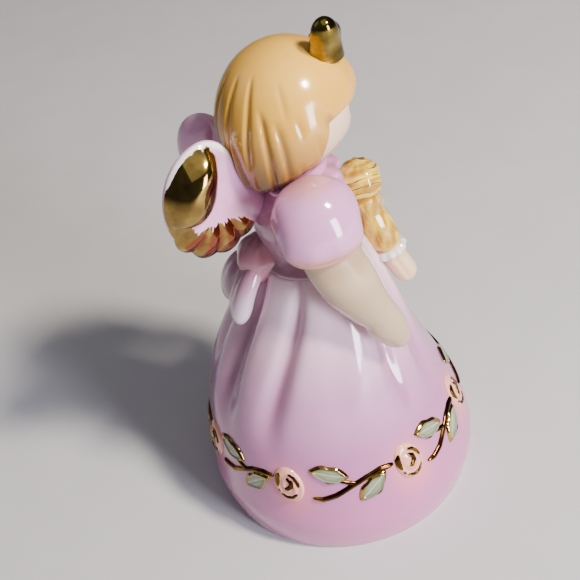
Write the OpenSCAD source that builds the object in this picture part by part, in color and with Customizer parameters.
// Porcelain figurine bell: a winged girl with a doll, her hollow skirt the bell, a bead clapper inside.
// Origin: middle of the skirt's flat rim, on the surface it stands on. +Z up, the girl faces -Y.
// Millimetres. Her right side is -X; wings and sash are at +Y.

/* [Skirt] */
// Widest radius of the skirt, just above the rim
hem_r = 32; // [31:0.5:34]
// Height of the skirt's flat top, where the bodice is luted on
waist_z = 66; // [62:1:70]
// Radius of the skirt's flat top
waist_r = 11.5; // [11:0.5:12.5]
// Height where the skirt is widest
bulge_z = 9; // [8:1:14]
// How far the skirt draws in from its widest part to the rim
rim_tuck = 1.4; // [1:0.1:3]
// How far the skirt sweeps back at half its height
sweep = 2.5; // [0:0.5:3]
// Wall of the cast shell
wall = 2.8; // [2.4:0.1:3.4]
// Number of pleats round the skirt
pleats = 12; // [9:1:14]
// Depth of a pleat's valley
pleat_depth = 2.2; // [1:0.1:2.8]

/* [Garland] */
// Number of roses round the hem, each with its spray of two leaves
roses = 7; // [5:1:9]
// Height of the garland's middle line
garland_z = 21; // [19:0.5:23]
// Turn of the first rose, anticlockwise from +X seen from above
first_rose_turn = 146; // [130:1:160]
// Half height of a rose
rose_h = 4.7; // [3:0.1:5]
// Half width of a rose
rose_w = 3.5; // [2.5:0.1:4]
// How far a rose stands out of the skirt
rose_rise = 1.6; // [1:0.1:2]
// Half width of a leaf
leaf_w = 2.1; // [1.5:0.1:2.6]
// Diameter of the vine
vine_d = 1.3; // [1:0.1:1.6]

/* [Figure] */
// Height of the middle of the head
head_z = 100; // [98:0.5:102]
// Radius of the head under the hair
head_r = 12.2; // [11.8:0.1:12.4]
// Turn of the face to the girl's left
head_turn = 14; // [0:1:25]
// Half width of the hair
hair_r = 13.9; // [13.5:0.1:14.5]
// Height of the hair above the middle of the head
hair_top = 14.4; // [13.5:0.1:15]

/* [Wings] */
// Half length of the right wing, from the girl's back outwards
wing_half_l = 10.8; // [9.6:0.2:11.4]
// Half height of the right wing
wing_half_h = 13; // [11:0.2:14]

/* [Clapper] */
// Radius of the porcelain bead
bead_r = 7; // [5:0.5:7.5]
// Height of the bead's middle at rest
bead_z = 15; // [13:1:20]
// Diameter of all the wire
wire_d = 1.4; // [1:0.1:1.6]
// Height of the staple's bar, where the link hangs
bar_z = 52; // [50:1:53]
// Mean radius of the link
link_r = 3; // [2.8:0.1:3.4]

/* [Hidden] */
rose_names = [for (i = [1:roses]) str("rose_", i)];
upper_leaf_names = [for (i = [1:roses]) str("upper_leaf_", i)];
lower_leaf_names = [for (i = [1:roses]) str("lower_leaf_", i)];

hem_steps = 84;         // sides round the skirt
plug_z = waist_z - 9;   // ceiling inside the skirt
plug_r = 5.2;
play = 0.05;            // gap between one wire and the next at rest
head_y = -0.4;
neck_z = 85;            // foot of the neck, inside the top of the bodice
neck_r = 4.6;
nose_in = 0.5;          // how deep the nose beads in the face
rose_step = 360 / roses;
hand_slip = 2.6;        // degrees a rose may sit off its even place, as set by hand

// Smooth step from 0 to 1
function ease(t) = let (c = min(1, max(0, t))) c * c * (3 - 2 * c);
function unit(v) = v / norm(v);
function mid(points) = [for (k = [0:2]) [for (p = points) p[k]] * [for (p = points) 1] / len(points)];
function bezier(a, b, c, d, t) = a * pow(1 - t, 3) + b * 3 * t * pow(1 - t, 2) + c * 3 * t * t * (1 - t) + d * pow(t, 3);
function turned(p, a) = [p[0] * cos(a) - p[1] * sin(a), p[0] * sin(a) + p[1] * cos(a), p[2]];
function to_left(p) = [-p[0], p[1], p[2]];

// Faces between rings of n points; the rings run anticlockwise about the way they are stacked
function band(n, i) = [for (j = [0:n - 1]) let (a = i * n, b = a + n, k = (j + 1) % n)
    each [[a + j, b + j, b + k], [a + j, b + k, a + k]]];

// Closed solid over a stack of rings, each end closed to its middle
module skin(rings) {
    n = len(rings[0]);
    m = len(rings);
    points = concat([for (r = rings) each r], [mid(rings[0]), mid(rings[m - 1])]);
    sides = [for (i = [0:m - 2]) each band(n, i)];
    start = [for (j = [0:n - 1]) [m * n, j, (j + 1) % n]];
    end = [for (j = [0:n - 1]) [m * n + 1, (m - 1) * n + (j + 1) % n, (m - 1) * n + j]];
    polyhedron(points = points, faces = concat(sides, start, end), convexity = 6);
}

// Closed solid whose last ring joins its first, such as the wall of a hollow shell
module closed_skin(rings) {
    n = len(rings[0]);
    m = len(rings);
    sides = [for (i = [0:m - 2]) each band(n, i)];
    last = [for (j = [0:n - 1]) let (a = (m - 1) * n, k = (j + 1) % n) each [[a + j, j, k], [a + j, k, a + k]]];
    polyhedron(points = [for (r = rings) each r], faces = concat(sides, last), convexity = 6);
}

// Rings of a tube along a path, with a half width and a half height at each point
function tube_rings(path, wide, high, side, n) = [for (i = [0:len(path) - 1])
    let (
        t = unit(path[min(i + 1, len(path) - 1)] - path[max(i - 1, 0)]),
        v = unit(cross(t, side)),
        u = cross(v, t)
    ) [for (j = [0:n - 1]) let (a = 360 * j / n) path[i] + u * wide[i] * cos(a) + v * high[i] * sin(a)]];

// Rounds the two ends of a limb: 1 along it, falling to a small tip at each end
function round_ends(t, start, end) = sqrt(max(0.02, 1 - pow(max(0, (start - t) / start), 2.2)))
    * sqrt(max(0.02, 1 - pow(max(0, (t - 1 + end) / end), 2.2)));

// Pillow over an outline: u and v span its plane, outline(a) is given as a list of radii
module pillow(centre, u, v, outline, thick, dish = 0, layers = [-80, -48, -16, 16, 48, 80]) {
    w = unit(cross(u, v));
    n = len(outline);
    skin([for (t = layers) [for (j = [0:n - 1]) let (a = 360 * j / n, r = outline[j] * cos(t))
        centre + u * r * cos(a) + v * r * sin(a) + w * (thick * sin(t) + dish * pow(cos(t), 2))]]);
}

// ---- skirt ----

function bell_r(z) = z < bulge_z
    ? hem_r - rim_tuck * pow(1 - z / bulge_z, 2)
    : let (t = (z - bulge_z) / (waist_z - bulge_z)) waist_r + (hem_r - waist_r) * (0.55 * cos(90 * t) + 0.45 * (1 - t));
// Pleats open below the waist and die away above the garland
function pleat_fade(z) = ease((z - garland_z - 4) / 18) * (0.3 + 0.7 * ease((waist_z - z) / 12));
function pleat(z, a) = pleat_depth * pleat_fade(z) * (pow(abs(cos(pleats * a / 2)), 0.6) - 1);
function skirt_y(z) = z < bulge_z ? 0 : sweep * pow(sin(180 * (z - bulge_z) / (waist_z - bulge_z)), 2);
function skirt_point(r, a, z) = [r * cos(a), r * sin(a) + skirt_y(z), z];
// A point on the skirt's outer face: a turn, a height, and how far it stands off
function on_skirt(a, z, off) = skirt_point(bell_r(z) + pleat(z, a) + off, a, z);

module skirt() {
    outer_z = [0, 1, 4, 8, 12, 16, 20, 24, 28, 33, 38, 43, 48, 53, 58, 62, waist_z];
    inner_z = [plug_z - 0.6, 54, 48, 42, 36, 30, 24, 18, 12, 6, 1, 0];
    steps = [for (j = [0:hem_steps - 1]) 360 * j / hem_steps];
    outer = [for (z = outer_z) [for (a = steps) on_skirt(a, z, 0)]];
    bore = [for (z = [waist_z, plug_z]) [for (a = steps) [plug_r * cos(a), plug_r * sin(a), z]]];
    inner = [for (z = inner_z) let (r = bell_r(z) - wall - 0.6 * ease((z - 30) / 20))
        [for (a = steps) skirt_point(r, a, z)]];
    color("plum") closed_skin(concat(outer, bore, inner));
}

// ---- figure ----

// Hollow trunk: open over the skirt's plug, closed at the top by the neck
module bodice() {
    // height, half width, half depth
    levels = [[waist_z, 11, 10.2], [68, 10.2, 9.4], [72, 10.4, 9.2], [77, 12, 9.8], [81, 12.4, 9.6],
        [84, 11, 8.4], [86.5, 8.6, 6.8], [88, 6.4, 5.6]];
    inside = [[88, neck_r - 0.1, neck_r - 0.1], [86.2, neck_r, neck_r], [81, 12.4 - wall, 9.6 - wall],
        [72, 10.4 - wall, 9.2 - wall], [waist_z, 11 - wall, 10.2 - wall]];
    n = 36;
    color("plum") closed_skin([for (l = concat(levels, inside))
        [for (j = [0:n - 1]) let (a = 360 * j / n) [l[1] * cos(a), l[2] * sin(a), l[0]]]]);
}

// Frilled neckline standing a little off the bodice
module collar() {
    n = 48;
    frill = [for (j = [0:n - 1]) 0.5 * cos(12 * 360 * j / n)];
    function at(r, z) = [for (j = [0:n - 1]) let (a = 360 * j / n) [(r + frill[j]) * 1.12 * cos(a), (r + frill[j]) * 0.92 * sin(a), z]];
    color("thistle") closed_skin([at(6.8, 85.4), at(9, 84.8), at(9.5, 85.6), at(9, 86.4), at(6.8, 87.6), at(6, 86.4)]);
}

module head() {
    color("bisque") translate([0, head_y, 0]) rotate([0, 0, head_turn]) union() {
        difference() {
            union() {
                translate([0, 0, head_z]) sphere(r = head_r, $fn = 48);
                translate([0, 0, neck_z]) cylinder(r = neck_r, h = head_z - head_r + 2 - neck_z, $fn = 32);
            }
            translate([0, 0, head_z]) sphere(r = head_r - wall, $fn = 48);
            translate([0, 0, neck_z - 1]) cylinder(r = neck_r - 2, h = head_z - neck_z, $fn = 32);
        }
        translate([0, nose_in - head_r, head_z - 4]) sphere(r = 1.5, $fn = 24);
    }
}

// Outer face of the bob: p is the angle down from the crown, a the turn from the face
function from_face(a) = abs(a > 180 ? a - 360 : a);
function hair_lock(p, a) = 0.35 * sin(p) * cos(20 * a) * ease((p - 20) / 40)
    + 1.3 * ease((60 - from_face(a)) / 40) * ease((p - 30) / 40);
function hair_point(p, a, off) = let (
        low = p > 90 ? 24 : hair_top,
        r = (hair_r + off + hair_lock(p, a)) * pow(sin(p), p > 90 ? 0.7 : 1)
    ) [r * sin(a), -r * cos(a), (low + off) * cos(p)];
// How far down the hair reaches at each turn from the face: fringe, cheek, nape
function hair_edge(a) = let (b = from_face(a))
    84 + 23 * ease((b - 64) / 26) + 19 * ease((b - 95) / 70);

module hair() {
    n = 54;
    turns = [for (j = [0:n - 1]) 360 * j / n];
    down = [0.02, 0.12, 0.26, 0.4, 0.54, 0.68, 0.82, 0.93];
    outer_steps = [1, 0.94, 0.84, 0.7, 0.56, 0.42, 0.28, 0.14, 0.03];
    inside = [for (s = down) [for (a = turns) hair_point(s * hair_edge(a), a, -hair_r + head_r + 0.1)]];
    outside = [for (s = outer_steps) [for (a = turns) hair_point(s * hair_edge(a), a, s == 1 ? -0.9 : 0)]];
    color("burlywood") translate([0, head_y, head_z]) rotate([0, 0, head_turn]) skin(concat(inside, outside));
}

// ---- hair bow ----

bow_knot = [0, -10, 110.8];

// Loop of ribbon standing up from the knot, wide where it leaves the hair
module bow_loop(base, tip) {
    steps = [0:0.125:1];
    path = [for (t = steps) base + (tip - base) * t];
    wide = [for (t = steps) (3.3 - 1.5 * ease(t)) * round_ends(t, 0.1, 0.3)];
    deep = [for (t = steps) (2.3 - 0.8 * t) * round_ends(t, 0.1, 0.3)];
    skin(tube_rings(path, wide, deep, [0, 1, 0], 20));
}

module hair_bow_knot() {
    color("goldenrod") translate(bow_knot) sphere(r = 2.1, $fn = 24);
}
module hair_bow_right_loop() {
    color("goldenrod") bow_loop([-3.2, -8.8, 110], [-6.4, -8.6, 119.8]);
}
module hair_bow_left_loop() {
    color("goldenrod") bow_loop([3.2, -10, 109], [5, -12.4, 113.6]);
}

// ---- sleeves and arms ----

module sleeve(side) {
    path = [for (t = [0:0.1:1]) bezier([-9.5, 0.5, 84.5], [-17, 0.5, 87.6], [-18, 0.5, 81], [-17, -0.5, 74.6], t)];
    wide = [for (t = [0:0.1:1]) 7.4 * round_ends(t, 0.35, 0.3)];
    high = [for (t = [0:0.1:1]) 8.6 * round_ends(t, 0.35, 0.3)];
    rings = tube_rings(path, high, wide, [0, 1, 0], 24);
    color("plum") mirror([side == "left" ? 1 : 0, 0, 0]) skin(rings);
}
module right_sleeve() { sleeve("right"); }
module left_sleeve() { sleeve("left"); }

module right_arm() {
    steps = [0:0.0909:1];
    path = [for (t = steps) bezier([-17, 0, 76.5], [-19.5, -2, 67], [-21, -7.5, 59.5], [-21, -12.8, 49.4], t)];
    taper = [for (t = steps) (5.9 - 1.9 * ease((t - 0.25) / 0.6) + 0.3 * ease((t - 0.75) / 0.14)) * round_ends(t, 0.04, 0.2)];
    flat = [for (i = [0:len(taper) - 1]) taper[i] * 0.8];
    color("bisque") skin(tube_rings(path, taper, flat, [0, 1, 0], 20));
}
module left_arm() {
    steps = [0:0.0909:1];
    path = [for (t = steps) bezier([17, -0.5, 76.5], [20, -8, 67], [15, -16, 66], [5.6, -17.6, 67.6], t)];
    taper = [for (t = steps) (4.6 - 1.8 * ease(t / 0.8) + 0.3 * ease((t - 0.75) / 0.12)) * round_ends(t, 0.04, 0.2)];
    color("bisque") skin(tube_rings(path, taper, taper, [0, 0, 1], 20));
}

// ---- wings ----

// Outline of a wing about its middle: an upright oval, hollowed where it tucks behind the hair,
// with a heel that beds in the girl's back and feather tips along the bottom
function wing_outline(a) = let (
        oval = 1 / sqrt(pow(cos(a) / wing_half_l, 2) + pow(sin(a) / wing_half_h, 2)),
        tuck = 3 * ease(1 - abs(a - 142) / 55),
        heel = 2.6 * ease(1 - abs(a - 210) / 26),
        tips = a > 225 && a < 333 ? 0.9 * abs(sin((a - 225) * 180 / 27)) : 0
    ) oval - tuck + heel + tips;

// A wing stands upright on its root and swings out from the girl's back
module wing(side, root, swing, size) {
    n = 56;
    outline = [for (j = [0:n - 1]) size * wing_outline(360 * j / n)];
    out = [-sin(swing), cos(swing), 0];
    up = [0, 0, 1];
    centre = root + out * size * wing_half_l + up * 2.5;
    color("thistle") mirror([side == "left" ? 1 : 0, 0, 0])
        pillow(centre, out, up, outline, 2.8 * size, 0.8, [-84, -62, -36, -12, 12, 36, 62, 84]);
}
module right_wing() { wing("right", [-3, 7.8, 85.8], 18, 1); }
module left_wing() { wing("left", [-3, 7.8, 85], 44, 0.84); }

// ---- sash ----

module sash_knot() {
    color("plum") translate([0, 9.6, 65]) sphere(r = 4.2, $fn = 24);
}
module sash_loop(side) {
    steps = [0:0.1:1];
    path = [for (t = steps) bezier([-1.5, 11, 66], [-4, 14.5, 65], [-4.6, 16.5, 60], [-4.2, 18, 54.2], t)];
    wide = [for (t = steps) (2 + 1.4 * ease(t / 0.7)) * round_ends(t, 0.15, 0.3)];
    deep = [for (t = steps) (1.8 + 0.9 * ease(t / 0.7)) * round_ends(t, 0.15, 0.3)];
    color("thistle") mirror([side == "left" ? 1 : 0, 0, 0]) skin(tube_rings(path, wide, deep, [1, 0, 0], 20));
}
module sash_right_loop() { sash_loop("right"); }
module sash_left_loop() { sash_loop("left"); }

// ---- doll ----

doll_top = [3, -13.6, 76.4];
doll_neck = [2, -13.8, 71.4];
doll_hem = [0.2, -17.6, 58.5];

module doll_head() {
    color("bisque") translate(doll_top) sphere(r = 4, $fn = 32);
}
module doll_hair() {
    n = 28;
    turns = [for (j = [0:n - 1]) 360 * j / n];
    // the face opening is on the side away from the girl
    function edge(a) = 118 - 48 * ease((50 - from_face(a)) / 25);
    function at(s, a, r) = let (p = s * edge(a)) [r * sin(p) * sin(a), -r * sin(p) * cos(a), r * cos(p)];
    inside = [for (s = [0.03, 0.25, 0.5, 0.75, 0.95]) [for (a = turns) at(s, a, 4.05)]];
    outside = [for (s = [1, 0.85, 0.65, 0.45, 0.22, 0.04]) [for (a = turns) at(s, a, s == 1 ? 4.6 : 5.1)]];
    color("khaki") translate(doll_top) skin(concat(inside, outside));
}
module doll_dress() {
    path = [for (t = [0:0.125:1]) doll_neck + (doll_hem - doll_neck) * t];
    wide = [for (t = [0:0.125:1]) (2.4 + 1.9 * ease(t / 0.8)) * round_ends(t, 0.05, 0.12)];
    color("khaki") skin(tube_rings(path, wide, wide, [1, 0, 0], 24));
}
module doll_petticoat() {
    out = unit(doll_hem - doll_neck);
    path = [for (t = [0:0.25:1]) doll_hem + out * (2.2 * t - 1.2)];
    color("ivory") skin(tube_rings(path, [4.3, 4.9, 5, 4.7, 3.4], [4.3, 4.9, 5, 4.7, 3.4], [1, 0, 0], 24));
}
module doll_legs() {
    path = [for (t = [0:0.125:1]) doll_hem + ([-1, -21.4, 50] - doll_hem) * t];
    wide = [for (t = [0:0.125:1]) 3.3 * round_ends(t, 0.1, 0.3)];
    color("bisque") skin(tube_rings(path, wide, [for (w = wide) w * 0.85], [1, 0, 0], 20));
}

// ---- garland ----

// The vine dips after each rose and climbs to the next
function vine_z(a) = garland_z - 2.2 * sin((a - first_rose_turn) * roses);

module garland_vine() {
    n = 140;
    sides = 6;
    rings = [for (i = [0:n - 1]) let (
            a = 360 * i / n,
            p = on_skirt(a, vine_z(a), 0.2),
            q = on_skirt(a + 1, vine_z(a + 1), 0.2),
            t = unit(q - p),
            out = [cos(a), sin(a), 0],
            v = unit(cross(t, out)),
            u = cross(v, t)
        ) [for (j = [0:sides - 1]) let (b = 360 * j / sides) p + (u * cos(b) + v * sin(b)) * vine_d / 2]];
    color("darkgoldenrod") closed_skin(rings);
}

function rose_turn(i) = first_rose_turn + i * rose_step + hand_slip * sin(140 * i - 30);
module rose(i) {
    a = rose_turn(i);
    n = 20;
    outline = [for (j = [0:n - 1]) let (b = 360 * j / n) 1 / sqrt(pow(cos(b) / rose_w, 2) + pow(sin(b) / rose_h, 2))];
    centre = on_skirt(a, garland_z, 0);
    color("pink") pillow(centre, [-sin(a), cos(a), 0], [0, 0, 1], outline, rose_rise);
}

module leaf(i, along, rise, lean, length) {
    a = rose_turn(i) * (1 - along) + rose_turn(i + 1) * along;
    z = garland_z + rise;
    n = 16;
    outline = [for (j = [0:n - 1]) let (b = 360 * j / n)
        pow(pow(abs(cos(b)) / length, 1.35) + pow(abs(sin(b)) / leaf_w, 1.35), -1 / 1.35)];
    centre = on_skirt(a, z, 0.1);
    across = [-sin(a), cos(a), 0];
    u = across * cos(lean) + [0, 0, 1] * sin(lean);
    v = cross([cos(a), sin(a), 0], u);
    color("darkseagreen") pillow(centre, u, v, outline, 0.8);
}

// ---- hanger and clapper ----

module hanger_plug() {
    color("ivory") translate([0, 0, plug_z]) cylinder(r = plug_r, h = waist_z - plug_z, $fn = 48);
}

// U of wire whose legs are set in the plug; its bar runs along X
module hanger_staple() {
    bend = 2.6;
    color("silver") union() {
        for (x = [-bend, bend])
            translate([x, 0, bar_z + bend]) cylinder(d = wire_d, h = plug_z + 5 - bar_z - bend, $fn = 24);
        translate([0, 0, bar_z + bend]) rotate([90, 0, 0]) rotate([0, 0, 180])
            rotate_extrude(angle = 180, $fn = 48) translate([bend, 0]) circle(d = wire_d, $fn = 24);
    }
}

// Closed ring of wire hanging on the staple's bar, in the YZ plane
link_z = bar_z - link_r + wire_d + play;
module link() {
    color("silver") translate([0, 0, link_z]) rotate([0, 90, 0])
        rotate_extrude($fn = 48) translate([link_r, 0]) circle(d = wire_d, $fn = 24);
}

eye_r = 2.2;
eye_z = link_z - link_r + wire_d + play - eye_r;
module clapper_wire() {
    stem_top = eye_z - eye_r;
    color("silver") union() {
        translate([0, 0, eye_z]) rotate([90, 0, 0]) rotate_extrude($fn = 48)
            translate([eye_r, 0]) circle(d = wire_d, $fn = 24);
        translate([0, 0, bead_z - bead_r - 1.6]) cylinder(d = wire_d, h = stem_top - bead_z + bead_r + 1.6, $fn = 24);
    }
}

module clapper_crimp() {
    color("silver") translate([0, 0, bead_z - bead_r - 1.4]) cylinder(r = 1.6, h = 1.6, $fn = 32);
}

module clapper_bead() {
    color("ivory") translate([0, 0, bead_z]) difference() {
        sphere(r = bead_r, $fn = 64);
        translate([0, 0, -bead_r - 1]) cylinder(d = wire_d + 0.1, h = 2 * bead_r + 2, $fn = 24);
    }
}

skirt();
bodice();
collar();
head();
hair();
hair_bow_knot();
hair_bow_right_loop();
hair_bow_left_loop();
right_sleeve();
left_sleeve();
right_arm();
left_arm();
right_wing();
left_wing();
sash_knot();
sash_right_loop();
sash_left_loop();
doll_head();
doll_hair();
doll_dress();
doll_petticoat();
doll_legs();
garland_vine();
for (i = [0:roses - 1]) {
    rose(i);
    leaf(i, 0.33, 3, -20, 3.7);
    leaf(i, 0.66, -1.4, 45, 3.8);
}
hanger_plug();
hanger_staple();
link();
clapper_wire();
clapper_crimp();
clapper_bead();
